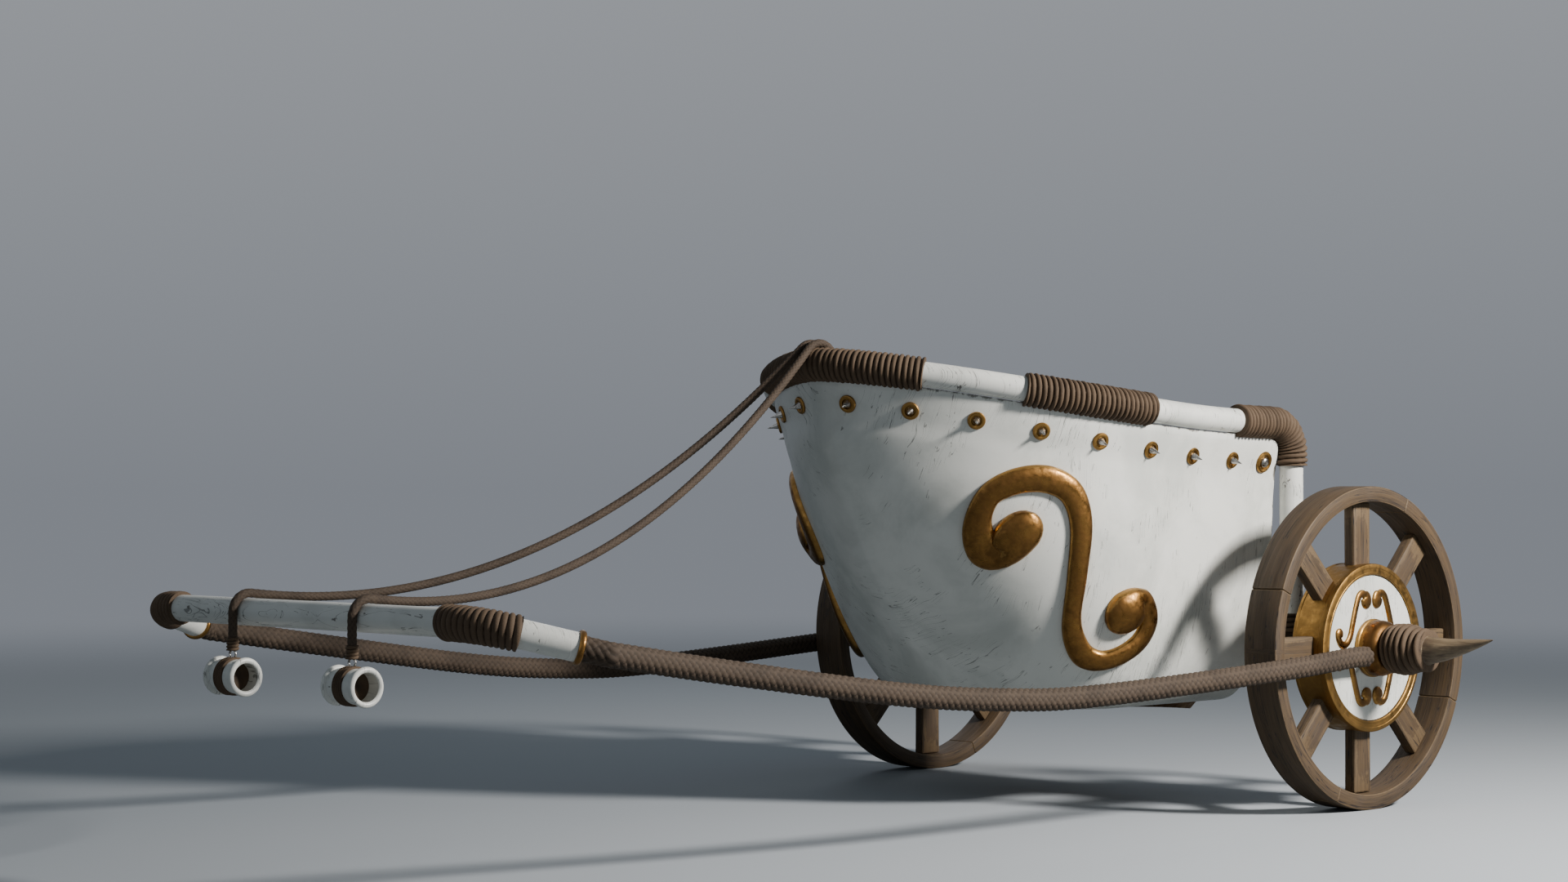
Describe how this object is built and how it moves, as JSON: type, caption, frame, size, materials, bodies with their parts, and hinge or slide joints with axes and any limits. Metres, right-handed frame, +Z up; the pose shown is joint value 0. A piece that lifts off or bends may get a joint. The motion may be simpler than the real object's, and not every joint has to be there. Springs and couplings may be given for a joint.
{
  "type": "two-wheeled chariot",
  "caption": "Open two-wheeled chariot with a scooped tub, wrapped top rail, spoked wheels on a spiked axle, roped shafts, a yoke and draped reins.",
  "frame": {"origin": "centre of the bottom of the box round the chariot, on the ground, without the reins", "axes": "+Z up, -Y forwards along the shafts, +X to the rider's left"},
  "size_m": [2.5288, 3.4884, 1.2956],
  "materials": {
    "enamel": "painted warm white, scratched and chipped",
    "gilt": "aged, with brown patina",
    "oak": "weathered, worn pale at the edges",
    "cord": "brown twisted cord",
    "rope": "braided pinkish brown rope",
    "horn": "polished horn",
    "hide": "dark leather"
  },
  "bodies": {
    "frame": {"tub_shell": "enamel", "floor_board": "oak", "foot_shoe": "gilt", "rail": "enamel", "rail_wrap_nose": "cord", "rail_wrap_left_middle": "cord", "rail_wrap_right_middle": "cord", "rail_wrap_left_rear": "cord", "rail_wrap_right_rear": "cord", "axle_lashing_left": "cord", "axle_lashing_right": "cord", "stud_band_left": "gilt", "stud_band_right": "gilt", "scroll_left": "gilt", "scroll_right": "gilt", "axle": "oak", "boss_left": "gilt", "boss_right": "gilt", "axle_wrap_left": "cord", "axle_wrap_right": "cord", "horn_left": "horn", "horn_right": "horn", "yoke": "enamel", "yoke_wrap_left": "cord", "yoke_wrap_right": "cord", "yoke_ring_left": "gilt", "yoke_ring_right": "gilt", "shaft_left": "rope", "shaft_right": "rope", "rein_left": "rope", "rein_right": "rope", "rein_binding": "cord", "rein_hand_loop": "rope", "rein_grip": "hide", "cuff_left": "enamel", "cuff_right": "enamel"},
    "wheel_left": {"wheel_left_felloe_1": "oak", "wheel_left_felloe_2": "oak", "wheel_left_felloe_3": "oak", "wheel_left_felloe_4": "oak", "wheel_left_spokes": "oak", "wheel_left_drum": "gilt", "wheel_left_disc": "enamel", "wheel_left_scroll_upper_front": "gilt", "wheel_left_scroll_upper_rear": "gilt", "wheel_left_scroll_lower_front": "gilt", "wheel_left_scroll_lower_rear": "gilt"},
    "wheel_right": {"wheel_right_felloe_1": "oak", "wheel_right_felloe_2": "oak", "wheel_right_felloe_3": "oak", "wheel_right_felloe_4": "oak", "wheel_right_spokes": "oak", "wheel_right_drum": "gilt", "wheel_right_disc": "enamel", "wheel_right_scroll_upper_front": "gilt", "wheel_right_scroll_upper_rear": "gilt", "wheel_right_scroll_lower_front": "gilt", "wheel_right_scroll_lower_rear": "gilt"}
  },
  "joints": [
    {"name": "wheel_left_spin", "type": "hinge", "parent": "frame", "child": "wheel_left", "pos_m": [0.827, 1.26935, 0.45], "axis": [1, 0, 0], "continuous": true},
    {"name": "wheel_right_spin", "type": "hinge", "parent": "frame", "child": "wheel_right", "pos_m": [-0.827, 1.26935, 0.45], "axis": [1, 0, 0], "continuous": true}
  ]
}
